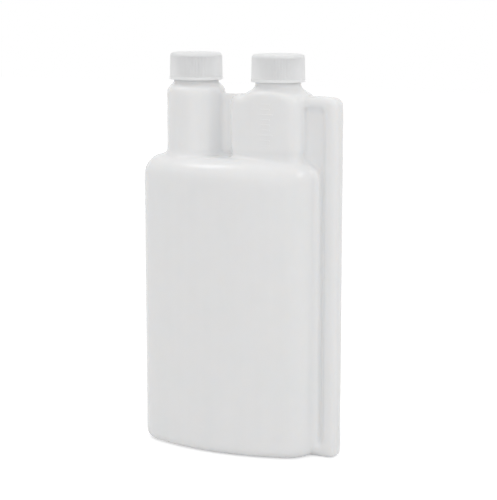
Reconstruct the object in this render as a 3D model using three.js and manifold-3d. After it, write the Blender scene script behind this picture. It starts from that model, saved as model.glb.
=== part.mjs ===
// One-litre twin-neck measuring bottle, blow-moulded in one piece, with two ribbed screw caps.
// Squeezing the tank drives liquid up the feed channel at the right into the measuring chamber.
// Millimetres, +Z up, front towards -Y. The origin is under the middle of the whole bottle, on its base.
import * as THREE from "three";
import { mergeVertices } from "three/addons/utils/BufferGeometryUtils.js";
import Module from "manifold-3d";

const wasm = await Module();
wasm.setup();

// Driving dimensions of the blown bottle
const wall = 1.1;
const webThickness = 2.4;
const webTop = 218.7;

// Tank: a lens-shaped section with round corners
const tankHalfWidth = 57.4;
const tankHalfDepth = 30.4;
const tankFaceRadius = 130.5;
const tankCornerRadius = 17.7;
const tankHeight = 180.6;
const tankShoulderRadius = 13;
const tankFootRadius = 4.5;
const pushUpHeight = 1.6;
const pushUpMargin = 11;
const pinchRidgeHeight = 0.7;
const pinchRidgeWidth = 1.4;

// Filling column, a round tower on the tank's shoulder
const fillNeckX = -26.1;
const fillColumnRadius = 18;
const columnShoulderRadius = 3.9;
const columnTop = 222.9;
const columnDepth = 6.5;
const splitMargin = 1.4;

// Measuring chamber, a round-cornered box over the tank
const doseNeckX = 29.8;
const doseCentreX = 26.5;
const doseHalfWidth = 23.3;
const doseHalfDepth = 17.5;
const doseFaceRadius = 90;
const doseCornerRadius = 7;
const doseFloor = 182.9;
const doseTop = 218.4;
const doseTopRadius = 4.2;
const doseFloorRadius = 4;
const doseConeRadius = 20.8;

// Graduation bars on the measuring chamber
const graduationCount = 9;
const graduationPitch = 3.05;
const graduationFirst = 189.2;
const graduationCentreX = doseNeckX;
const graduationShort = 6;
const graduationLong = 9.5;
const graduationLongEvery = 4;
const graduationHeight = 0.7;
const graduationProud = 0.35;

// Feed channel down the right edge
const channelStandOff = 13.6;
const channelOuterX = tankHalfWidth + channelStandOff;
const channelWidth = 8.2;
const channelHalfDepth = 6.4;
const channelEdgeRadius = 3;
const channelTop = 218.2;
const channelRunHeight = 6.8;
const channelFootHeight = 8.2;
const channelTopCorner = 5.8;
const channelFootCorner = 4.6;
const channelInnerCorner = 3.5;

// Neck finish, the same on both necks
const neckBaseRadius = 13.65;
const neckBaseTop = 227.6;
const neckRootRadius = 12.55;
const neckBoreRadius = 10.75;
const neckLipChamfer = 0.5;
const threadPitch = 4.2;
const threadCrestRadius = 13.65;
const threadBaseWidth = 1.9;
const threadCrestWidth = 0.9;
const neckThreadTurns = 1.5;
const neckThreadDrop = 2.2;

// Screw cap
const capBottom = 226.1;
const capHeight = 16.3;
const capRadius = 16.15;
const capTopRadius = 15.85;
const capRibCount = 54;
const capRibDepth = 0.35;
const capEdgeRadius = 1.9;
const capBandHeight = 1.5;
const capBandProud = 0.2;
const capTopThickness = 1.4;
const capBoreRadius = 14.5;
const capThreadTurns = 1.1;
const capThreadCrestRadius = 13.0;
const linerThickness = 1;
const fitGap = 0.25;

// Facet counts
const roundSegments = 32;
const threadSegments = 24;
const bendSteps = 4;
const outsideSteps = { face: 6, corner: 5, fillet: 4 };
const insideSteps = { face: 4, corner: 3, fillet: 2 };

const capTop = capBottom + capHeight;
const linerTop = capTop - capTopThickness - fitGap;
const neckLip = linerTop - linerThickness - fitGap;

// Shifts the tank's centre so that the whole bottle, channel included, is centred on the origin
const overallShift = (tankHalfWidth - channelOuterX) / 2;

function toManifold(geometry) {
  const bare = geometry.clone();
  bare.deleteAttribute("normal");
  bare.deleteAttribute("uv");
  const merged = mergeVertices(bare, 1e-4);
  return new wasm.Manifold(
    new wasm.Mesh({
      numProp: 3,
      vertProperties: new Float32Array(merged.attributes.position.array),
      triVerts: new Uint32Array(merged.index.array),
    }),
  );
}

function toGeometry(solid) {
  const mesh = solid.getMesh();
  const geometry = new THREE.BufferGeometry();
  geometry.setAttribute("position", new THREE.BufferAttribute(Float32Array.from(mesh.vertProperties), 3));
  geometry.setIndex(new THREE.BufferAttribute(Uint32Array.from(mesh.triVerts), 1));
  geometry.computeVertexNormals();
  return geometry;
}

function join(solids) {
  return solids.reduce((whole, solid) => whole.add(solid));
}

// A block between two corners
function region(low, high) {
  const box = new THREE.BoxGeometry(high[0] - low[0], high[1] - low[1], high[2] - low[2]);
  box.translate((low[0] + high[0]) / 2, (low[1] + high[1]) / 2, (low[2] + high[2]) / 2);
  return toManifold(box);
}

// A closed skin over rings of equal length, counter-clockwise from above, lowest first
function skinRings(rings) {
  const count = rings[0].length;
  const positions = [];
  const indices = [];
  rings.forEach((ring) => ring.forEach((p) => positions.push(p.x, p.y, p.z)));
  for (let level = 0; level + 1 < rings.length; level += 1) {
    for (let i = 0; i < count; i += 1) {
      const a = level * count + i;
      const b = level * count + ((i + 1) % count);
      indices.push(a, b, b + count, a, b + count, a + count);
    }
  }
  const closeEnd = (ring, offset, upwards) => {
    const fan = [[0, 1, 2], [0, 2, 3]];
    const faces = count === 4 ? fan : THREE.ShapeUtils.triangulateShape(ring, []);
    faces.forEach(([a, b, c]) => {
      indices.push(...(upwards ? [offset + a, offset + b, offset + c] : [offset + a, offset + c, offset + b]));
    });
  };
  closeEnd(rings[0], 0, false);
  closeEnd(rings[rings.length - 1], (rings.length - 1) * count, true);
  const geometry = new THREE.BufferGeometry();
  geometry.setAttribute("position", new THREE.Float32BufferAttribute(positions, 3));
  geometry.setIndex(indices);
  return geometry;
}

// A ring of round-cornered, bulged-face section, drawn in by inset on all sides
function lensRing(section, inset, z, steps) {
  const corner = section.corner - inset;
  const face = section.face - inset;
  const cornerX = section.halfWidth - section.corner;
  const faceCentreY = section.face - section.halfDepth;
  const cornerY = faceCentreY - Math.sqrt((section.face - section.corner) ** 2 - cornerX ** 2);
  const lean = Math.asin(cornerX / (section.face - section.corner));
  const quarter = [];
  for (let i = 0; i < steps.face; i += 1) {
    const angle = (lean * i) / steps.face;
    quarter.push(new THREE.Vector2(face * Math.sin(angle), faceCentreY - face * Math.cos(angle)));
  }
  for (let i = 0; i <= steps.corner; i += 1) {
    const angle = lean + ((Math.PI / 2 - lean) * i) / steps.corner;
    quarter.push(new THREE.Vector2(cornerX + corner * Math.sin(angle), cornerY - corner * Math.cos(angle)));
  }
  const back = quarter.map((p) => new THREE.Vector2(p.x, -p.y)).reverse();
  const right = [...quarter, ...back];
  const left = right.slice(1, -1).map((p) => new THREE.Vector2(-p.x, p.y)).reverse();
  return [...right, ...left].map((p) => new THREE.Vector3(section.x + p.x, p.y, z));
}

function roundRing(x, radius, z, segments = roundSegments) {
  return Array.from({ length: segments }, (_, i) => {
    const angle = (2 * Math.PI * i) / segments;
    return new THREE.Vector3(x + radius * Math.cos(angle), radius * Math.sin(angle), z);
  });
}

function stepsFor(inset) {
  return inset > 0 ? insideSteps : outsideSteps;
}

// Levels of a prism with rounded foot and top edges: pairs of inset and height
function roundedLevels(bottom, top, footRadius, topRadius, steps) {
  const levels = [];
  for (let i = 0; i <= steps.fillet; i += 1) {
    const angle = (Math.PI / 2) * (i / steps.fillet);
    levels.push([footRadius * (1 - Math.sin(angle)), bottom + footRadius * (1 - Math.cos(angle))]);
  }
  for (let i = 0; i <= steps.fillet; i += 1) {
    const angle = (Math.PI / 2) * (i / steps.fillet);
    levels.push([topRadius * (1 - Math.cos(angle)), top - topRadius * (1 - Math.sin(angle))]);
  }
  return levels;
}

const tankSection = {
  x: 0,
  halfWidth: tankHalfWidth,
  halfDepth: tankHalfDepth,
  face: tankFaceRadius,
  corner: tankCornerRadius,
};

const doseSection = {
  x: doseCentreX,
  halfWidth: doseHalfWidth,
  halfDepth: doseHalfDepth,
  face: doseFaceRadius,
  corner: doseCornerRadius,
};

function tankBlock(inset) {
  const steps = stepsFor(inset);
  const levels = roundedLevels(
    inset,
    tankHeight - inset,
    tankFootRadius - inset,
    tankShoulderRadius - inset,
    steps,
  );
  return toManifold(skinRings(levels.map(([drawn, z]) => lensRing(tankSection, inset + drawn, z, steps))));
}

// The hollow under the base, which leaves a standing ring round the edge
function pushUp(inset) {
  const margin = pushUpMargin - inset;
  const steps = stepsFor(inset);
  const rings = [
    lensRing(tankSection, margin, -wall, steps),
    lensRing(tankSection, margin, inset, steps),
    lensRing(tankSection, margin + 2 * pushUpHeight, pushUpHeight + inset, steps),
  ];
  return toManifold(skinRings(rings));
}

function pinchRidge() {
  const length = 2 * (tankHalfWidth - pushUpMargin);
  const ridge = new THREE.BoxGeometry(length, pinchRidgeWidth, 2 * pinchRidgeHeight);
  ridge.translate(0, 0, pushUpHeight);
  return toManifold(ridge);
}

function fillColumn(inset) {
  const radius = fillColumnRadius - inset;
  const steps = stepsFor(inset);
  const shoulder = columnShoulderRadius - inset / 2;
  const rings = [roundRing(fillNeckX, radius, tankHeight - inset - columnDepth)];
  for (let i = 0; i <= steps.fillet; i += 1) {
    const angle = (Math.PI / 2) * (i / steps.fillet);
    const z = columnTop - inset - shoulder * (1 - Math.sin(angle));
    rings.push(roundRing(fillNeckX, radius - shoulder * (1 - Math.cos(angle)), z));
  }
  return toManifold(skinRings(rings));
}

// The measuring chamber: a rounded box, under a cone to the neck that keeps within the box's sides
function doseChamber(inset) {
  const steps = stepsFor(inset);
  const floor = doseFloor + inset;
  const levels = roundedLevels(
    floor,
    doseTop - inset,
    doseFloorRadius - inset,
    doseTopRadius - inset,
    steps,
  );
  const box = skinRings(levels.map(([drawn, z]) => lensRing(doseSection, inset + drawn, z, steps)));
  const sides = skinRings([floor + doseFloorRadius, columnTop + wall].map((z) => {
    return lensRing(doseSection, inset, z, steps);
  }));
  const cone = skinRings([
    roundRing(doseNeckX, doseConeRadius - inset, doseTop - 2 * doseTopRadius),
    roundRing(doseNeckX, doseConeRadius - inset, doseTop - inset / 2),
    roundRing(doseNeckX, neckBaseRadius - inset, columnTop - inset / 2),
  ]);
  return toManifold(box).add(toManifold(cone).intersect(toManifold(sides)));
}

function cornerArc(centreX, centreZ, radius, fromAngle, toAngle, level) {
  return Array.from({ length: bendSteps }, (_, i) => {
    const angle = ((fromAngle + ((toAngle - fromAngle) * i) / (bendSteps - 1)) * Math.PI) / 180;
    return new THREE.Vector3(centreX + radius * Math.cos(angle), centreZ + radius * Math.sin(angle), level);
  });
}

// Outline of the feed channel seen from the front, drawn in by inset
function channelOutline(inset, level) {
  const outer = channelOuterX - inset;
  const inner = channelOuterX - channelWidth + inset;
  const top = channelTop - inset;
  const underRun = channelTop - channelRunHeight + inset;
  const overFoot = channelFootHeight - inset;
  const intoDose = doseCentreX + doseHalfWidth - 2 * wall - inset;
  const intoTank = tankHalfWidth - 2 * wall - inset;
  const topCorner = channelTopCorner - inset;
  const footCorner = channelFootCorner - inset;
  const bend = channelInnerCorner + inset;
  return [
    new THREE.Vector3(intoTank, inset, level),
    ...cornerArc(outer - footCorner, inset + footCorner, footCorner, -90, 0, level),
    ...cornerArc(outer - topCorner, top - topCorner, topCorner, 0, 90, level),
    new THREE.Vector3(intoDose, top, level),
    new THREE.Vector3(intoDose, underRun, level),
    ...cornerArc(inner - bend, underRun - bend, bend, 90, 0, level),
    ...cornerArc(inner - bend, overFoot + bend, bend, 0, -90, level),
    new THREE.Vector3(intoTank, overFoot, level),
  ];
}

function feedChannel(inset) {
  const halfDepth = channelHalfDepth - inset;
  const levels = roundedLevels(
    -halfDepth,
    halfDepth,
    channelEdgeRadius - inset,
    channelEdgeRadius - inset,
    stepsFor(inset),
  );
  const geometry = skinRings(levels.map(([drawn, level]) => channelOutline(inset + drawn, level)));
  geometry.rotateX(Math.PI / 2);
  return toManifold(geometry);
}

// The flat sheet where the two walls are pinched together, between the towers and beside the channel
function pinchedWeb() {
  const right = channelOuterX - channelWidth / 2;
  const low = channelFootHeight / 2;
  const high = channelTop - channelRunHeight / 2;
  const depth = webThickness / 2;
  const betweenTowers = region([fillNeckX, -depth, tankHeight / 2], [doseCentreX, depth, webTop]);
  const besideChannel = region([doseCentreX, -depth, low], [right, depth, high]);
  return betweenTowers.add(besideChannel);
}

function graduations() {
  const faceY = (x) => {
    const away = x - doseCentreX;
    return doseFaceRadius - doseHalfDepth - Math.sqrt(doseFaceRadius ** 2 - away ** 2);
  };
  return Array.from({ length: graduationCount }, (_, i) => {
    const long = i % graduationLongEvery === graduationLongEvery - 2;
    const length = long ? graduationLong : graduationShort;
    const bar = new THREE.BoxGeometry(length, 2 * graduationProud, graduationHeight);
    const rise = faceY(graduationCentreX + length / 2) - faceY(graduationCentreX - length / 2);
    bar.rotateZ(Math.atan(rise / length));
    bar.translate(graduationCentreX, faceY(graduationCentreX), graduationFirst + i * graduationPitch);
    return toManifold(bar);
  });
}

// A thread ridge on a right-hand helix, thinning to nothing at both ends
function threadRidge(x, buriedRadius, crestRadius, startZ, turns) {
  const steps = Math.round(turns * threadSegments);
  const fade = 3;
  const rings = [];
  for (let i = 0; i <= steps; i += 1) {
    const angle = (2 * Math.PI * i) / threadSegments;
    const z = startZ + (threadPitch * i) / threadSegments;
    const share = Math.min(1, (Math.min(i, steps - i) + 0.4) / fade);
    const crest = buriedRadius + (crestRadius - buriedRadius) * share;
    const halfBase = (threadBaseWidth / 2) * (0.4 + 0.6 * share);
    const halfCrest = (threadCrestWidth / 2) * (0.4 + 0.6 * share);
    const corners = [
      [buriedRadius, -halfBase],
      [crest, -halfCrest],
      [crest, halfCrest],
      [buriedRadius, halfBase],
    ];
    const ordered = crestRadius > buriedRadius ? corners : corners.reverse();
    rings.push(
      ordered.map(([radius, rise]) => {
        return new THREE.Vector3(x + radius * Math.cos(angle), radius * Math.sin(angle), z + rise);
      }),
    );
  }
  return toManifold(skinRings(rings.reverse()));
}

const neckThreadStart = neckLip - neckThreadDrop - neckThreadTurns * threadPitch;

function neckFinish(x) {
  const profile = [
    [0, columnTop - columnShoulderRadius],
    [neckBaseRadius, columnTop - columnShoulderRadius],
    [neckBaseRadius, neckBaseTop - neckLipChamfer],
    [neckRootRadius, neckBaseTop + neckLipChamfer],
    [neckRootRadius, neckLip - neckLipChamfer],
    [neckRootRadius - neckLipChamfer, neckLip],
    [0, neckLip],
  ].map(([radius, z]) => new THREE.Vector2(radius, z));
  const barrel = new THREE.LatheGeometry(profile, roundSegments);
  barrel.rotateX(Math.PI / 2);
  barrel.translate(x, 0, 0);
  const buried = neckRootRadius - neckLipChamfer;
  return toManifold(barrel).add(threadRidge(x, buried, threadCrestRadius, neckThreadStart, neckThreadTurns));
}

function neckBore(x) {
  const bottom = columnTop - columnShoulderRadius - 2 * wall;
  return toManifold(
    skinRings([roundRing(x, neckBoreRadius, bottom), roundRing(x, neckBoreRadius, neckLip + wall)]),
  );
}

function bottleBody() {
  const outside = join([
    tankBlock(0).subtract(pushUp(0)).add(pinchRidge()),
    fillColumn(0),
    doseChamber(0),
    feedChannel(0),
    pinchedWeb(),
    neckFinish(fillNeckX),
    neckFinish(doseNeckX),
    ...graduations(),
  ]);
  const inside = join([
    tankBlock(wall).subtract(pushUp(wall)),
    fillColumn(wall),
    doseChamber(wall),
    feedChannel(wall),
    neckBore(fillNeckX),
    neckBore(doseNeckX),
  ]);
  return outside.subtract(inside);
}

// The one moulding is handed over as neighbouring lengths, cut by planes, so that each stays a simple shape
function bodyLengths() {
  const body = bottleBody();
  const splitLevel = tankHeight + splitMargin;
  const neckSplit = columnTop + splitMargin / 2;
  const channelSplitX = tankHalfWidth + splitMargin / 2;
  const towerSplitX = (fillNeckX + fillColumnRadius + doseCentreX - doseHalfWidth) / 2;
  const left = -2 * tankHalfWidth;
  const right = 2 * tankHalfWidth;
  const front = -2 * tankHalfDepth;
  const back = 2 * tankHalfDepth;
  const low = -tankHeight;
  const high = 2 * tankHeight;
  const cut = (from, to) => body.intersect(region(from, to));
  return {
    tank: cut([left, front, low], [channelSplitX, back, splitLevel]),
    filling_column: cut([left, front, splitLevel], [towerSplitX, back, neckSplit]),
    filling_neck: cut([left, front, neckSplit], [towerSplitX, back, high]),
    measuring_chamber: cut([towerSplitX, front, splitLevel], [channelSplitX, back, neckSplit]),
    measuring_neck: cut([towerSplitX, front, neckSplit], [channelSplitX, back, high]),
    feed_channel: cut([channelSplitX, front, low], [right, back, high]),
  };
}

function ribbedRing(x, crest, valley, z) {
  const count = 2 * capRibCount;
  return Array.from({ length: count }, (_, i) => {
    const angle = (2 * Math.PI * i) / count;
    const radius = i % 2 === 0 ? crest : valley;
    return new THREE.Vector3(x + radius * Math.cos(angle), radius * Math.sin(angle), z);
  });
}

function capShell(x) {
  const bandTop = capBottom + capBandHeight;
  const ribTop = capTop - capEdgeRadius;
  const band = capRadius + capBandProud;
  const half = capEdgeRadius * (1 - Math.SQRT1_2);
  const rings = [
    ribbedRing(x, band, band, capBottom),
    ribbedRing(x, band, band, bandTop),
    ribbedRing(x, capRadius, capRadius - capRibDepth, bandTop + capBandProud),
    ribbedRing(x, capTopRadius, capTopRadius - capRibDepth, ribTop),
    ribbedRing(x, capTopRadius - half, capTopRadius - half, capTop - half),
    ribbedRing(x, capTopRadius - capEdgeRadius, capTopRadius - capEdgeRadius, capTop),
  ];
  const bore = skinRings([
    roundRing(x, capBoreRadius, capBottom - wall),
    roundRing(x, capBoreRadius, capTop - capTopThickness),
  ]);
  const lead = (capThreadTurns * threadPitch) / 2;
  const threadStart = neckThreadStart + (neckThreadTurns * threadPitch) / 2 - threadPitch / 2 - lead;
  const buried = capBoreRadius + neckLipChamfer;
  const turn = capThreadAngle(threadStart);
  const thread = threadRidge(0, buried, capThreadCrestRadius, threadStart, capThreadTurns)
    .rotate([0, 0, turn])
    .translate([x, 0, 0]);
  return toManifold(skinRings(rings)).subtract(toManifold(bore)).add(thread);
}

// The angle that puts the cap's ridge half a pitch under the neck's ridge all the way round
function capThreadAngle(threadStart) {
  const between = neckThreadStart - threadPitch / 2;
  return (360 * (threadStart - between)) / threadPitch;
}

function linerDisc(x) {
  const radius = capBoreRadius - fitGap;
  const disc = new THREE.CylinderGeometry(radius, radius, linerThickness, roundSegments);
  disc.rotateX(Math.PI / 2);
  disc.translate(x, 0, linerTop - linerThickness / 2);
  return toManifold(disc);
}

const milkyBottle = new THREE.MeshStandardMaterial({ color: 0xe2e3e4, roughness: 0.45, metalness: 0 });
const whiteCap = new THREE.MeshStandardMaterial({ color: 0xe6e6e6, roughness: 0.4, metalness: 0 });
const foamLiner = new THREE.MeshStandardMaterial({ color: 0xf2f2ef, roughness: 0.8, metalness: 0 });

const bottle = new THREE.Group();

function place(name, solid, material) {
  const mesh = new THREE.Mesh(toGeometry(solid), material);
  mesh.name = name;
  mesh.position.x = overallShift;
  bottle.add(mesh);
}

Object.entries(bodyLengths()).forEach(([name, length]) => place(name, length, milkyBottle));
place("fill_cap", capShell(fillNeckX), whiteCap);
place("fill_cap_liner", linerDisc(fillNeckX), foamLiner);
place("dosing_cap", capShell(doseNeckX), whiteCap);
place("dosing_cap_liner", linerDisc(doseNeckX), foamLiner);

export default bottle;
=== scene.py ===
import math

import bmesh
import bpy
from mathutils import Matrix, Vector


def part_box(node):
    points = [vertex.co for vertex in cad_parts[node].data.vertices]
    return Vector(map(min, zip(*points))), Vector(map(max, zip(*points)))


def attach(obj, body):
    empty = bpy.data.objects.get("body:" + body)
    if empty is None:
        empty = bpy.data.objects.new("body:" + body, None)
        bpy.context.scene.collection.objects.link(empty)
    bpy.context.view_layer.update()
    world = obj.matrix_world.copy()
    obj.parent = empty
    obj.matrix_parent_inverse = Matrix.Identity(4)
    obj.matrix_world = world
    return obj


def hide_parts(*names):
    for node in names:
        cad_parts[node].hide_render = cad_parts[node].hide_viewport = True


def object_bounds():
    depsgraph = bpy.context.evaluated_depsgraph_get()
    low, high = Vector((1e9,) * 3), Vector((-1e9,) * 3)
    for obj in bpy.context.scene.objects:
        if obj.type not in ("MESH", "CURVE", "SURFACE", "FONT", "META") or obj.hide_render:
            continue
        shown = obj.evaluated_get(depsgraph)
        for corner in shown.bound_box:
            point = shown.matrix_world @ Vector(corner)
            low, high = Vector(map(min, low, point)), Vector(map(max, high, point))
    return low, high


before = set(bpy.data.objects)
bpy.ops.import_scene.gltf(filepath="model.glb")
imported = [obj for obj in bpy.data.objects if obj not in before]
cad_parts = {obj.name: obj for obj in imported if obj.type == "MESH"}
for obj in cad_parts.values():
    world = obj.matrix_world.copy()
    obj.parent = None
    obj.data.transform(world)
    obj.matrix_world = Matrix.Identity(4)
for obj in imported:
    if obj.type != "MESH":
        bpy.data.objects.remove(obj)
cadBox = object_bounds()
print("frame loaded")

# Twin-neck measuring bottle. Pieces are modelled in millimetres from the tank's centre line,
# and settle() brings each finished piece to metres in the shared frame.
millimetre = 0.001
touching = 0.001  # heights and places this near each other count as the same
overlap = 1  # a joined or cutting piece runs this far past the face it meets
facing = 0.8  # a normal with this much of a direction in it faces that way
sharpFold = 1  # in radians: an edge folded by more is a sharp one
sharpShading = 38  # in degrees: an edge folded by less is shaded smooth
roundPoints = 128  # points round a turned form

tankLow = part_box("tank")[0]
fillCapLow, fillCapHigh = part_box("fill_cap")
dosingCapLow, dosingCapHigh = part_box("dosing_cap")

tank = {
    "x": 0, "halfWidth": 57.4, "halfDepth": 30.4, "face": 130.5, "corner": 17.7,
    "height": 180.6, "shoulder": 13, "foot": 5.5, "points": 240,
    "pushUp": 1.6, "pushUpMargin": 11, "ridge": 0.7, "ridgeWidth": 1.4,
}
tankCentre = tankLow.x + tank["halfWidth"] * millimetre
necks = {
    "fillX": ((fillCapLow.x + fillCapHigh.x) / 2 - tankCentre) / millimetre,
    "dosingX": ((dosingCapLow.x + dosingCapHigh.x) / 2 - tankCentre) / millimetre,
}


def pickOnly(obj):
    if bpy.context.object and bpy.context.object.mode != "OBJECT":
        bpy.ops.object.mode_set(mode="OBJECT")
    bpy.ops.object.select_all(action="DESELECT")
    obj.select_set(True)
    bpy.context.view_layer.objects.active = obj


def select(obj, kind, chosen):
    pickOnly(obj)
    bpy.ops.object.mode_set(mode="EDIT")
    bpy.ops.mesh.select_mode(type=kind)
    bpy.ops.mesh.select_all(action="DESELECT")
    work = bmesh.from_edit_mesh(obj.data)
    for item in {"EDGE": work.edges, "FACE": work.faces}[kind]:
        if chosen(item):
            item.select_set(True)
    bmesh.update_edit_mesh(obj.data)


def leaveEdit():
    bpy.ops.object.mode_set(mode="OBJECT")


def roundEdges(obj, radius, chosen, segments=8):
    select(obj, "EDGE", chosen)
    bpy.ops.mesh.bevel(offset=radius, segments=segments, profile=0.5, affect="EDGES")
    leaveEdit()


def drawOut(obj, move, chosen):
    select(obj, "FACE", chosen)
    bpy.ops.mesh.extrude_region_move(TRANSFORM_OT_translate={"value": move})
    leaveEdit()


def cutLevels(obj, heights):
    for z in heights:
        select(obj, "FACE", lambda face: True)
        bpy.ops.mesh.bisect(plane_co=(0, 0, z), plane_no=(0, 0, 1))
        leaveEdit()


def modify(obj, kind, **values):
    pickOnly(obj)
    change = obj.modifiers.new(kind.lower(), kind)
    for key, value in values.items():
        setattr(change, key, value)
    bpy.ops.object.modifier_apply(modifier=change.name)


def combine(obj, other, operation):
    modify(obj, "BOOLEAN", operation=operation, solver="MANIFOLD", object=other)
    bpy.data.objects.remove(other)


# A test for edges or faces that lie flat at one height
def atHeight(z):
    return lambda item: all(abs(v.co.z - z) < touching for v in item.verts)


def isSharp(edge):
    return len(edge.link_faces) == 2 and edge.calc_face_angle(0) > sharpFold


def newPiece(name):
    piece = bpy.context.object
    piece.name = name
    bpy.ops.object.transform_apply(location=True, rotation=True, scale=True)
    return piece


def cylinder(name, x, radius, bottom, top, points=roundPoints):
    bpy.ops.mesh.primitive_cylinder_add(
        vertices=points, radius=radius, depth=top - bottom, location=(x, 0, (top + bottom) / 2)
    )
    return newPiece(name)


def cone(name, x, lowRadius, highRadius, bottom, height):
    bpy.ops.mesh.primitive_cone_add(
        vertices=roundPoints, radius1=lowRadius, radius2=highRadius, depth=height,
        location=(x, 0, bottom + height / 2),
    )
    return newPiece(name)


def block(name, low, high):
    size = [b - a for a, b in zip(low, high)]
    middle = [(a + b) / 2 for a, b in zip(low, high)]
    bpy.ops.mesh.primitive_cube_add(size=1, location=middle, scale=size)
    return newPiece(name)


# A point on a plan outline with bulged faces and round corners, which is drawn in by a distance;
# share runs once round from the right side, and slack keeps a quarter's first point in that quarter
def planPoint(plan, drawn, share, slack=1e-6):
    corner = plan["corner"] - drawn
    face = plan["face"] - drawn
    cornerX = plan["halfWidth"] - plan["corner"]
    lean = math.asin(cornerX / (plan["face"] - plan["corner"]))
    faceCentreY = plan["face"] - plan["halfDepth"]
    cornerY = (plan["face"] - plan["corner"]) * math.cos(lean) - faceCentreY
    cornerLength = corner * (math.pi / 2 - lean)
    total = cornerY + cornerLength + face * lean
    passed = int(share * 4 + slack)
    quarter = passed % 4
    local = share * 4 - passed
    along = (local if quarter % 2 == 0 else 1 - local) * total
    if along < cornerY:
        x = cornerX + corner
        y = along
    elif along < cornerY + cornerLength:
        angle = (along - cornerY) / corner
        x = cornerX + corner * math.cos(angle)
        y = cornerY + corner * math.sin(angle)
    else:
        angle = (total - along) / face
        x = face * math.sin(angle)
        y = face * math.cos(angle) - faceCentreY
    return plan["x"] + (x if quarter in (0, 3) else -x), (y if quarter < 2 else -y)


# A prism on a plan outline: a cylinder whose points move to the outline, with its rims rounded
def planPrism(name, plan, drawn, bottom, top, footRadius=0, topRadius=0):
    height = top - bottom
    bpy.ops.mesh.primitive_cylinder_add(
        vertices=plan["points"], radius=1, depth=height, location=(0, 0, bottom + height / 2)
    )
    prism = newPiece(name)
    for v in prism.data.vertices:
        share = (math.atan2(v.co.y, v.co.x) / (2 * math.pi)) % 1
        v.co.x, v.co.y = planPoint(plan, drawn, round(share * plan["points"]) / plan["points"])
    for z, radius in ((bottom, footRadius), (top, topRadius)):
        if radius > 0:
            roundEdges(prism, radius, atHeight(z))
    return prism


# The fillet is a low cone, sunk a little into the tank and into the column
column = {
    "radius": 18, "top": 222.9, "shoulder": 3.9, "depth": 6.5, "boreDepth": 60,
    "filletOut": 1.4, "filletUp": 3, "filletSunk": 0.8, "filletBite": 0.2,
}


def fillColumn():
    low = tank["height"] - column["depth"]
    tower = cylinder("column", necks["fillX"], column["radius"], low, column["top"])
    roundEdges(tower, column["shoulder"], atHeight(column["top"]))
    fillet = cone(
        "columnFillet", necks["fillX"], column["radius"] + column["filletOut"],
        column["radius"] - column["filletBite"], tank["height"] - column["filletSunk"], column["filletUp"],
    )
    combine(tower, fillet, "UNION")
    return tower


dosing = {
    "x": 26.5, "halfWidth": 23.3, "halfDepth": 17.5, "face": 90, "corner": 7, "points": 160,
    "floor": 182.9, "top": 218.4, "floorRadius": 4, "topRadius": 4.2, "sidesUp": 8,
    "coneRadius": 20.8, "neckFoot": 222.9, "neckRadius": 13.65, "boreDepth": 34,
}


# A rounded box, under a cone to the neck that keeps within the box's sides
def dosingChamber():
    box = planPrism(
        "chamber", dosing, 0, dosing["floor"], dosing["top"], dosing["floorRadius"], dosing["topRadius"]
    )
    sidesLow = dosing["floor"] + dosing["sidesUp"]
    sides = planPrism("chamberSides", dosing, 0, sidesLow, dosing["neckFoot"] + overlap)
    slope = cone(
        "chamberCone", necks["dosingX"], dosing["coneRadius"], dosing["neckRadius"],
        dosing["top"], dosing["neckFoot"] - dosing["top"],
    )
    drawOut(slope, (0, 0, -2 * dosing["topRadius"]), atHeight(dosing["top"]))
    combine(slope, sides, "INTERSECT")
    combine(box, slope, "UNION")
    return box


# The margin is in rows: the wall that is shaded flat round the scale reaches this far past it
graduation = {
    "first": 189.2, "pitch": 3.05, "count": 9, "short": 6, "long": 9.5, "longFrom": 2, "longEvery": 4,
    "height": 0.8, "proud": 0.15, "depth": 1.5, "rounding": 0.06, "margin": 2,
}


# Raised bars of the dosing scale: blocks cut to a skin that stands a little proud of the chamber
def graduationBars():
    pitch = graduation["pitch"]
    low = graduation["first"] - pitch
    high = low + graduation["count"] * pitch + pitch
    bars = planPrism("graduations", dosing, -graduation["proud"], low, high)
    front = -dosing["halfDepth"]
    halfHeight = graduation["height"] / 2
    rows = None
    for index in range(graduation["count"]):
        middle = graduation["first"] + index * pitch
        isLong = index % graduation["longEvery"] == graduation["longFrom"]
        halfLength = graduation["long" if isLong else "short"] / 2
        row = block(
            "bar",
            (necks["dosingX"] - halfLength, front - overlap, middle - halfHeight),
            (necks["dosingX"] + halfLength, front + graduation["depth"], middle + halfHeight),
        )
        if rows:
            combine(rows, row, "UNION")
        else:
            rows = row
    combine(bars, rows, "INTERSECT")

    def onFrontRim(edge):
        return isSharp(edge) and any(-face.normal.y > facing for face in edge.link_faces)

    roundEdges(bars, graduation["rounding"], onFrontRim, segments=2)
    return bars


# The tube's upper end is sunk into the chamber, and its foot into the tank
channel = {
    "outer": 71, "width": 8.2, "halfDepth": 6.4, "edge": 3, "top": 218.2, "run": 6.8,
    "foot": 8.2, "topCorner": 5.8, "footCorner": 2.4, "bend": 3.5, "sunk": 4.2,
}


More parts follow.
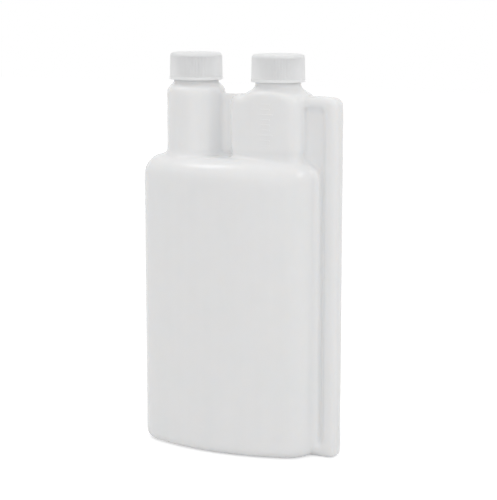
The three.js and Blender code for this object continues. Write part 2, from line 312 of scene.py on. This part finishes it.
# An upright tube whose two ends turn inwards: a block cut at both turns, then extruded and rounded
def feedChannel():
    outer = channel["outer"]
    inner = channel["outer"] - channel["width"]
    top = channel["top"]
    depth = channel["halfDepth"]
    underRun = channel["top"] - channel["run"]
    overFoot = channel["foot"]
    tube = block("channel", (inner, -depth, 0), (outer, depth, top))
    cutLevels(tube, (underRun, overFoot))
    ends = (
        (underRun, top, dosing["x"] + dosing["halfWidth"] - channel["sunk"]),
        (0, overFoot, tank["halfWidth"] - channel["sunk"]),
    )
    for low, high, reach in ends:
        def facesInwards(face):
            return face.normal.x < -facing and low < face.calc_center_median().z < high

        drawOut(tube, (reach - inner, 0, 0), facesInwards)
    corners = (
        (outer, top, channel["topCorner"]),
        (outer, 0, channel["footCorner"]),
        (inner, underRun, channel["bend"]),
        (inner, overFoot, channel["bend"]),
    )
    for x, z, radius in corners:
        def atCorner(edge):
            return all(abs(v.co.x - x) + abs(v.co.z - z) < touching for v in edge.verts)

        roundEdges(tube, radius, atCorner)
    for side in (-1, 1):
        def onRim(edge):
            return isSharp(edge) and all(abs(v.co.y - side * depth) < touching for v in edge.verts)

        roundEdges(tube, channel["edge"], onRim, segments=6)
    return tube


web = {
    "halfThickness": 1.2, "sideHalfThickness": 3.4, "top": 218.7, "saddleInset": 1.1, "saddleDepth": 7,
    "valleyHalfDepth": 6, "valleyRise": 1.4, "flankOut": 60.4, "flankHalfDepth": 7.5,
    "flankFoot": 3, "flankDrop": 2.5, "flankRadius": 10,
}


# Where the mould pinches the walls together: a thin web between the two towers and a thicker one
# inside the tube, a flank that eases the tank's side into it, a saddle under the chamber and a low
# fill in the valley between the towers
def pinchedWebs():
    towers = block(
        "web",
        (necks["fillX"], -web["halfThickness"], tank["height"] - tank["shoulder"]),
        (dosing["x"], web["halfThickness"], web["top"]),
    )
    middle = channel["outer"] - channel["width"] / 2
    side = block(
        "sideWeb",
        (dosing["x"], -web["sideHalfThickness"], channel["foot"] / 2),
        (middle, web["sideHalfThickness"], channel["top"] - channel["run"] / 2),
    )
    saddle = planPrism(
        "saddle", dosing, web["saddleInset"],
        dosing["floor"] - web["saddleDepth"], dosing["floor"] + dosing["floorRadius"],
    )
    valley = block(
        "valley",
        (necks["fillX"], -web["valleyHalfDepth"], tank["height"] - web["saddleDepth"]),
        (dosing["x"], web["valleyHalfDepth"], tank["height"] + web["valleyRise"]),
    )
    combine(saddle, valley, "UNION")
    flank = block(
        "flank",
        (dosing["x"], -web["flankHalfDepth"], web["flankFoot"]),
        (web["flankOut"], web["flankHalfDepth"], tank["height"] - web["flankDrop"]),
    )

    def onUpperCorner(edge):
        outside = all(abs(v.co.x - web["flankOut"]) < touching for v in edge.verts)
        return outside and all(v.co.z > tank["height"] / 2 for v in edge.verts)

    roundEdges(flank, web["flankRadius"], onUpperCorner, segments=10)
    combine(side, flank, "UNION")
    combine(side, saddle, "UNION")
    combine(towers, side, "UNION")
    return towers


# The hollow under the tank and the ridge across it where the mould pinched the parison shut
def shapeUnderside(outside):
    hollow = planPrism(
        "pushUp", tank, tank["pushUpMargin"], -overlap, tank["pushUp"], topRadius=tank["pushUp"]
    )
    combine(outside, hollow, "DIFFERENCE")
    reach = tank["halfWidth"] - tank["pushUpMargin"]
    ridge = block(
        "pinchRidge",
        (-reach, -tank["ridgeWidth"] / 2, tank["pushUp"] - tank["ridge"]),
        (reach, tank["ridgeWidth"] / 2, tank["pushUp"] + tank["ridge"]),
    )
    combine(outside, ridge, "UNION")


neck = {
    "base": 13.65, "stubTop": 226.2, "start": 223.3, "bead": 13.72, "baseTop": 227.6,
    "root": 12.55, "bore": 10.75, "lip": 239.5, "chamfer": 0.5, "points": 96,
}
# A ridge grows to its full section within an eighth of a turn, from part of its height and width
thread = {
    "pitch": 4.2, "width": 1.9, "crest": 13.65, "turns": 1.5, "drop": 2.2, "sunk": 0.5,
    "fade": 8, "endHeight": 0.12, "endWidth": 0.35,
}
threadStart = neck["lip"] - thread["drop"] - thread["turns"] * thread["pitch"]


# A ridge on a right-hand helix: a flat-topped section spun up by a screw, faded out at both ends
def threadRidge(name, x, buried, crest, startZ, turns, startTurn=0):
    pitch = thread["pitch"]
    steps = round(neck["points"] * turns)
    half = thread["width"] / 2
    bpy.ops.mesh.primitive_plane_add(size=1, location=(0, 0, 0))
    ridge = newPiece(name)
    # In the order of the plane's own points
    section = ((buried, -half), (crest, -half / 2), (buried, half), (crest, half / 2))
    for v, (radius, rise) in zip(ridge.data.vertices, section):
        v.co = (radius, 0, rise)
    modify(
        ridge, "SCREW", angle=2 * math.pi * turns, screw_offset=pitch * turns, steps=steps,
        render_steps=steps, iterations=1, use_merge_vertices=False, use_normal_calculate=False,
    )
    for v in ridge.data.vertices:
        turn = math.atan2(v.co.y, v.co.x)
        climbed = round(v.co.z / pitch - turn / (2 * math.pi)) + turn / (2 * math.pi)
        share = min(1, min(climbed, turns - climbed) * thread["fade"] + thread["endHeight"])
        width = thread["endWidth"] + (1 - thread["endWidth"]) * share
        middle = climbed * pitch
        radius = buried + (math.hypot(v.co.x, v.co.y) - buried) * share
        v.co.z = startZ + middle + (v.co.z - middle) * width
        turn += startTurn
        v.co.x, v.co.y = x + radius * math.cos(turn), radius * math.sin(turn)
    select(ridge, "FACE", lambda face: True)
    bpy.ops.mesh.normals_make_consistent(inside=False)
    leaveEdit()
    return ridge


def neckFinish(x):
    barrel = cylinder("neck", x, neck["bead"], neck["start"], neck["baseTop"], neck["points"])
    upper = cylinder("neckUpper", x, neck["root"], neck["baseTop"] - overlap, neck["lip"], neck["points"])
    for piece, z in ((barrel, neck["baseTop"]), (upper, neck["lip"])):
        roundEdges(piece, neck["chamfer"], atHeight(z), segments=3)
    combine(barrel, upper, "UNION")
    buried = neck["root"] - thread["sunk"]
    ridge = threadRidge("neckThread", x, buried, thread["crest"], threadStart, thread["turns"])
    combine(barrel, ridge, "UNION")
    return barrel


def neckBore(x, depth):
    return cylinder("bore", x, neck["bore"], neck["lip"] - depth, neck["lip"] + overlap)


# The joined skin is remeshed as one and smoothed, which rounds its creases as blowing does.
# The crisp neck finishes and the scale are joined after that.
skin = {"voxel": 1.1, "smoothing": 14, "smoothingFactor": 0.5}


def bottleShell():
    outside = planPrism("bottle", tank, 0, 0, tank["height"], tank["foot"], tank["shoulder"])
    shapeUnderside(outside)
    for part in (fillColumn(), dosingChamber(), feedChannel(), pinchedWebs()):
        combine(outside, part, "UNION")
    for x in (necks["fillX"], necks["dosingX"]):
        stub = cylinder("stub", x, neck["base"], column["top"] - column["shoulder"], neck["stubTop"])
        combine(outside, stub, "UNION")
    print("outer skin joined", len(outside.data.polygons))
    modify(outside, "REMESH", mode="VOXEL", voxel_size=skin["voxel"], use_smooth_shade=True)
    modify(outside, "SMOOTH", factor=skin["smoothingFactor"], iterations=skin["smoothing"])
    print("outer skin smoothed", len(outside.data.polygons))
    for x in (necks["fillX"], necks["dosingX"]):
        combine(outside, neckFinish(x), "UNION")
    combine(outside, graduationBars(), "UNION")
    for x, depth in ((necks["fillX"], column["boreDepth"]), (necks["dosingX"], dosing["boreDepth"])):
        combine(outside, neckBore(x, depth), "DIFFERENCE")
    print("necks bored", len(outside.data.polygons))
    return outside


# Brings a finished piece from millimetres about the tank's centre line to metres in the shared frame
def settle(piece, body, *nodes):
    pickOnly(piece)
    piece.data.transform(Matrix.Translation((tankCentre, 0, 0)) @ Matrix.Scale(millimetre, 4))
    bpy.ops.object.shade_smooth_by_angle(angle=math.radians(sharpShading))
    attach(piece, body)
    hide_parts(*nodes)
    return piece


mouldedLengths = (
    "tank", "filling_column", "filling_neck", "measuring_chamber", "measuring_neck", "feed_channel"
)
bottle = settle(bottleShell(), "bottle", *mouldedLengths)


# The bars cut the wall round them into slivers, which shade cleanly only when flat
def shadeScaleFlat(piece):
    pitch = graduation["pitch"]
    margin = graduation["margin"]
    halfWidth = graduation["long"] * millimetre
    middle = tankCentre + necks["dosingX"] * millimetre
    front = -(dosing["halfDepth"] - graduation["depth"]) * millimetre
    low = (graduation["first"] - margin * pitch) * millimetre
    high = low + (graduation["count"] - 1 + 2 * margin) * pitch * millimetre

    def onScale(face):
        spot = face.calc_center_median()
        return abs(spot.x - middle) < halfWidth and spot.y < front and low < spot.z < high

    select(piece, "FACE", onScale)
    bpy.ops.mesh.faces_shade_flat()
    leaveEdit()


shadeScaleFlat(bottle)
print("bottle finished")

# From the foot up: a lip, a smooth band, a step back, the ribs between ribFoot and ribHead,
# and a round edge to the top
cap = {
    "bottom": 226.1, "height": 16.3, "radius": 16.15, "topRadius": 15.85, "lip": 0.25,
    "band": 1.5, "bandProud": 0.2, "step": 0.25, "inset": 0.1, "edge": 1.9,
    "ribs": 112, "ribPoints": 4, "ribDepth": 0.6, "ribFoot": 0.7, "ribHead": 0.5,
    "top": 1.4, "bore": 14.5, "turns": 1.1, "crest": 13,
}


# A cylinder cut into levels, whose points are then set in or out by their height and place on a rib
def screwCap(name, x):
    capTop = cap["bottom"] + cap["height"]
    lipTop = cap["bottom"] + cap["lip"]
    bandTop = cap["bottom"] + cap["band"]
    ribFoot = bandTop + cap["ribFoot"]
    ribTop = capTop - cap["edge"]
    ribHead = ribTop - cap["ribHead"]
    shell = cylinder(name, x, cap["radius"], cap["bottom"], capTop, cap["ribs"] * cap["ribPoints"])
    cutLevels(shell, (lipTop, bandTop, bandTop + cap["step"], ribFoot, ribHead, ribTop))
    for v in shell.data.vertices:
        turn = math.atan2(v.co.y, v.co.x - x)
        climbed = (v.co.z - cap["bottom"]) / cap["height"]
        radius = cap["radius"] + (cap["topRadius"] - cap["radius"]) * climbed
        if v.co.z < cap["bottom"] + touching:
            radius = cap["radius"] + cap["bandProud"] - cap["lip"]
        elif v.co.z < bandTop + touching:
            radius = cap["radius"] + cap["bandProud"]
        elif ribFoot - touching < v.co.z < ribHead + touching:
            radius -= cap["ribDepth"] * (1 - math.cos(turn * cap["ribs"])) / 2
        else:
            radius -= cap["inset"]
        v.co.x, v.co.y = x + radius * math.cos(turn), radius * math.sin(turn)
    roundEdges(shell, cap["edge"] - cap["inset"], atHeight(capTop), segments=6)
    bore = cylinder("capBore", x, cap["bore"], cap["bottom"] - overlap, capTop - cap["top"], neck["points"])
    combine(shell, bore, "DIFFERENCE")
    # Wherever it starts, the cap's ridge lies half a pitch below the neck's all the way round
    startZ = threadStart + (thread["turns"] - 1 - cap["turns"]) * thread["pitch"] / 2
    startTurn = 2 * math.pi * (startZ - threadStart + thread["pitch"] / 2) / thread["pitch"]
    buried = cap["bore"] + thread["sunk"]
    ridge = threadRidge("capThread", x, buried, cap["crest"], startZ, cap["turns"], startTurn)
    combine(shell, ridge, "UNION")
    return shell


fillCap = settle(screwCap("fillCap", necks["fillX"]), "fill_closure", "fill_cap")
dosingCap = settle(screwCap("dosingCap", necks["dosingX"]), "dosing_closure", "dosing_cap")
print("caps finished")

liner = {"radius": 14.25, "thickness": 1, "top": 240.75, "edge": 0.25}


def foamLiner(name, x):
    bottom = liner["top"] - liner["thickness"]
    disc = cylinder(name, x, liner["radius"], bottom, liner["top"], neck["points"])

    def onEitherRim(edge):
        return abs(edge.verts[0].co.z - edge.verts[1].co.z) < touching

    roundEdges(disc, liner["edge"], onEitherRim, segments=3)
    return disc


fillLiner = settle(foamLiner("fillLiner", necks["fillX"]), "fill_liner", "fill_cap_liner")
dosingLiner = settle(foamLiner("dosingLiner", necks["dosingX"]), "dosing_liner", "dosing_cap_liner")
print("liners finished")


def toLinear(hexColour):
    channels = [int(hexColour[i:i + 2], 16) / 255 for i in (1, 3, 5)]
    return [c / 12.92 if c <= 0.04045 else ((c + 0.055) / 1.055) ** 2.4 for c in channels] + [1]


# Adds a node with its settings and links. Stops are the two ends of a colour ramp, and inOrder
# links the sockets whose names are alike.
def addNode(tree, kind, settings=None, inOrder=(), **links):
    node = tree.nodes.new(kind)
    for key, value in (settings or {}).items():
        if key == "stops":
            for element, (place, hexColour) in zip(node.color_ramp.elements, value):
                element.position = place
                element.color = toLinear(hexColour)
        elif key in node.inputs:
            node.inputs[key].default_value = value
        else:
            setattr(node, key, value)
    for socket, source in zip(node.inputs, inOrder):
        tree.links.new(source, socket)
    for key, source in links.items():
        tree.links.new(source, node.inputs[key.replace("_", " ")])
    return node


def newMaterial(name):
    material = bpy.data.materials.new(name)
    material.use_nodes = True
    material.node_tree.nodes.clear()
    return material, material.node_tree


# The scale of a pattern whose features are this many millimetres apart
def patternScale(size):
    return 1000 / size


# Natural high-density polyethylene, extrusion blow-moulded: milky and waxy, as light sinks a
# millimetre or two into it. The parison leaves faint upright streaks and clouds where the wall is
# thicker. The sand-blasted mould leaves a grain, which is drawn coarser than the real one to show.
polyethylene = {
    "thin": "#F4F5F6", "thick": "#F8F9FA", "thinAt": 0.35, "thickAt": 0.65,
    "cloud": 34, "cloudDetail": 3, "streak": 7, "streakStretch": 0.06, "streakShare": 0.2,
    "wallRelief": 0.25, "wallHeight": 0.4, "grain": 0.9, "grainRelief": 0.08, "grainHeight": 0.05,
    "roughness": 0.22, "ior": 1.54, "scatter": 1, "scatterDepth": 1.5, "scatterTint": (1, 0.95, 0.9),
}


def blownPolyethylene():
    look = polyethylene
    material, tree = newMaterial("blown natural polyethylene")
    place = addNode(tree, "ShaderNodeTexCoord").outputs["Object"]
    cloud = addNode(
        tree, "ShaderNodeTexNoise",
        {"Scale": patternScale(look["cloud"]), "Detail": look["cloudDetail"]}, Vector=place,
    )
    stretched = addNode(tree, "ShaderNodeMapping", {"Scale": (1, 1, look["streakStretch"])}, Vector=place)
    streak = addNode(
        tree, "ShaderNodeTexNoise", {"Scale": patternScale(look["streak"])},
        Vector=stretched.outputs["Vector"],
    )
    wall = addNode(
        tree, "ShaderNodeMix", {"data_type": "FLOAT", "Factor": look["streakShare"]},
        A=cloud.outputs["Fac"], B=streak.outputs["Fac"],
    )
    colour = addNode(
        tree, "ShaderNodeValToRGB",
        {"stops": ((look["thinAt"], look["thin"]), (look["thickAt"], look["thick"]))},
        Fac=wall.outputs["Result"],
    )
    grain = addNode(tree, "ShaderNodeTexNoise", {"Scale": patternScale(look["grain"])}, Vector=place)
    fine = addNode(
        tree, "ShaderNodeBump",
        {"Strength": look["grainRelief"], "Distance": look["grainHeight"] * millimetre},
        Height=grain.outputs["Fac"],
    )
    broad = addNode(
        tree, "ShaderNodeBump",
        {"Strength": look["wallRelief"], "Distance": look["wallHeight"] * millimetre},
        Height=wall.outputs["Result"], Normal=fine.outputs["Normal"],
    )
    shader = addNode(
        tree, "ShaderNodeBsdfPrincipled",
        {
            "Roughness": look["roughness"], "IOR": look["ior"],
            "Subsurface Weight": look["scatter"], "Subsurface Radius": look["scatterTint"],
            "Subsurface Scale": look["scatterDepth"] * millimetre,
        },
        Base_Color=colour.outputs["Color"], Normal=broad.outputs["Normal"],
    )
    addNode(tree, "ShaderNodeOutputMaterial", Surface=shader.outputs["BSDF"])
    return material


# White polypropylene, injection-moulded: whiter and more satin than the bottle. The spark-eroded
# mould leaves a fine grain, drawn coarser than the real one to show.
polypropylene = {
    "dark": "#F8F8F8", "light": "#FCFCFC", "darkAt": 0.3, "lightAt": 0.7, "mottle": 9,
    "grain": 0.5, "grainRelief": 0.1, "grainHeight": 0.05, "roughness": 0.36, "ior": 1.49,
    "scatter": 0.8, "scatterDepth": 3, "scatterTint": (1, 0.97, 0.94),
}


def mouldedPolypropylene():
    look = polypropylene
    material, tree = newMaterial("moulded white polypropylene")
    place = addNode(tree, "ShaderNodeTexCoord").outputs["Object"]
    mottle = addNode(tree, "ShaderNodeTexNoise", {"Scale": patternScale(look["mottle"])}, Vector=place)
    colour = addNode(
        tree, "ShaderNodeValToRGB",
        {"stops": ((look["darkAt"], look["dark"]), (look["lightAt"], look["light"]))},
        Fac=mottle.outputs["Fac"],
    )
    grain = addNode(tree, "ShaderNodeTexNoise", {"Scale": patternScale(look["grain"])}, Vector=place)
    fine = addNode(
        tree, "ShaderNodeBump",
        {"Strength": look["grainRelief"], "Distance": look["grainHeight"] * millimetre},
        Height=grain.outputs["Fac"],
    )
    shader = addNode(
        tree, "ShaderNodeBsdfPrincipled",
        {
            "Roughness": look["roughness"], "IOR": look["ior"],
            "Subsurface Weight": look["scatter"], "Subsurface Radius": look["scatterTint"],
            "Subsurface Scale": look["scatterDepth"] * millimetre,
        },
        Base_Color=colour.outputs["Color"], Normal=fine.outputs["Normal"],
    )
    addNode(tree, "ShaderNodeOutputMaterial", Surface=shader.outputs["BSDF"])
    return material


# Expanded polyethylene foam, die-cut: chalky, with fine closed cells that the cut lays open
foam = {
    "shade": "#E4E4DF", "light": "#F0F0EC", "shadeAt": 0, "lightAt": 0.6,
    "cell": 0.45, "cellRelief": 0.3, "cellHeight": 0.1, "roughness": 0.85,
}


def expandedFoam():
    look = foam
    material, tree = newMaterial("expanded polyethylene foam")
    place = addNode(tree, "ShaderNodeTexCoord").outputs["Object"]
    cells = addNode(tree, "ShaderNodeTexVoronoi", {"Scale": patternScale(look["cell"])}, Vector=place)
    colour = addNode(
        tree, "ShaderNodeValToRGB",
        {"stops": ((look["shadeAt"], look["shade"]), (look["lightAt"], look["light"]))},
        Fac=cells.outputs["Distance"],
    )
    fine = addNode(
        tree, "ShaderNodeBump",
        {"Strength": look["cellRelief"], "Distance": look["cellHeight"] * millimetre},
        Height=cells.outputs["Distance"],
    )
    shader = addNode(
        tree, "ShaderNodeBsdfPrincipled", {"Roughness": look["roughness"]},
        Base_Color=colour.outputs["Color"], Normal=fine.outputs["Normal"],
    )
    addNode(tree, "ShaderNodeOutputMaterial", Surface=shader.outputs["BSDF"])
    return material


bottlePlastic = blownPolyethylene()
capPlastic = mouldedPolypropylene()
linerFoam = expandedFoam()
finishes = (
    (bottle, bottlePlastic, "natural_polyethylene"),
    (fillCap, capPlastic, "white_polypropylene"),
    (dosingCap, capPlastic, "white_polypropylene"),
    (fillLiner, linerFoam, "white_foam"),
    (dosingLiner, linerFoam, "white_foam"),
)
for piece, material, slotName in finishes:
    piece.data.materials.clear()
    piece.data.materials.append(material)
print("materials finished")

# Sizes and distances here are in metres, and lamp powers in watts
studio = {
    "white": "#FFFFFF", "world": 0.725, "floorColour": "#DEDEDE", "floorGlow": 0.5, "floorSize": 6,
    "lights": (
        {
            "name": "left softbox", "azimuth": -68, "elevation": 58,
            "distance": 1.2, "size": 0.35, "power": 1.2,
        },
        {
            "name": "right softbox", "azimuth": 82, "elevation": 40,
            "distance": 1.1, "size": 0.4, "power": 1.2,
        },
        {
            "name": "front softbox", "azimuth": 20, "elevation": 9,
            "distance": 1.8, "size": 1.4, "power": 3.4,
        },
    ),
}


# What the camera, reflections and clear plastic see is white; the light on the bottle is less
def backdropOver(tree, lit, seen):
    rays = addNode(tree, "ShaderNodeLightPath").outputs
    direct = addNode(
        tree, "ShaderNodeMath", {"operation": "MAXIMUM"}, (rays["Is Camera Ray"], rays["Is Glossy Ray"])
    )
    shown = addNode(
        tree, "ShaderNodeMath", {"operation": "MAXIMUM"},
        (direct.outputs["Value"], rays["Is Transmission Ray"]),
    )
    return addNode(tree, "ShaderNodeMixShader", None, (shown.outputs["Value"], lit, seen)).outputs["Shader"]


def whiteRoom():
    world = bpy.data.worlds.new("white room")
    bpy.context.scene.world = world
    world.use_nodes = True
    tree = world.node_tree
    tree.nodes.clear()
    white = toLinear(studio["white"])
    lit = addNode(tree, "ShaderNodeBackground", {"Color": white, "Strength": studio["world"]})
    seen = addNode(tree, "ShaderNodeBackground", {"Color": white, "Strength": 1})
    both = backdropOver(tree, lit.outputs["Background"], seen.outputs["Background"])
    addNode(tree, "ShaderNodeOutputWorld", Surface=both)


def paleFloor():
    bpy.ops.mesh.primitive_plane_add(size=studio["floorSize"], location=(0, 0, cadBox[0].z))
    floor = bpy.context.object
    floor.name = "floor"
    material, tree = newMaterial("pale floor")
    colour = toLinear(studio["floorColour"])
    white = toLinear(studio["white"])
    board = addNode(tree, "ShaderNodeBsdfDiffuse", {"Color": colour}).outputs["BSDF"]
    glow = addNode(tree, "ShaderNodeEmission", {"Color": white, "Strength": studio["floorGlow"]})
    bright = addNode(tree, "ShaderNodeAddShader", None, (board, glow.outputs["Emission"]))
    both = backdropOver(tree, board, bright.outputs["Shader"])
    addNode(tree, "ShaderNodeOutputMaterial", Surface=both)
    floor.data.materials.append(material)


# The way from the bottle to a lamp or the camera: azimuth 0 is its front, and more is to the right
def directionTo(place):
    azimuth = math.radians(place["azimuth"])
    elevation = math.radians(place["elevation"])
    return Vector((
        math.sin(azimuth) * math.cos(elevation),
        -math.cos(azimuth) * math.cos(elevation),
        math.sin(elevation),
    ))


def softLights():
    middle = (cadBox[0] + cadBox[1]) / 2
    for light in studio["lights"]:
        away = directionTo(light)
        bpy.ops.object.light_add(type="AREA", location=middle + away * light["distance"])
        lamp = bpy.context.object
        lamp.name = light["name"]
        lamp.data.size = light["size"]
        lamp.data.energy = light["power"]
        lamp.rotation_euler = (-away).to_track_quat("-Z", "Y").to_euler()


# About a metre away, a little above the bottle's middle and to the right of its front
view = {
    "azimuth": 27.5, "elevation": 9.56, "distance": 993.6, "focal": 116.8, "sensor": 36,
    "target": (9.88, 0, 122.7),
}


def photoCamera():
    back = directionTo(view)
    target = Vector(view["target"]) * millimetre + Vector((tankCentre, 0, 0))
    bpy.ops.object.camera_add(location=target + back * view["distance"] * millimetre)
    camera = bpy.context.object
    camera.rotation_euler = (-back).to_track_quat("-Z", "Y").to_euler()
    camera.data.lens = view["focal"]
    camera.data.sensor_width = view["sensor"]
    bpy.context.scene.camera = camera


whiteRoom()
paleFloor()
softLights()
photoCamera()
bpy.context.scene.view_settings.view_transform = "Standard"
print("studio finished")
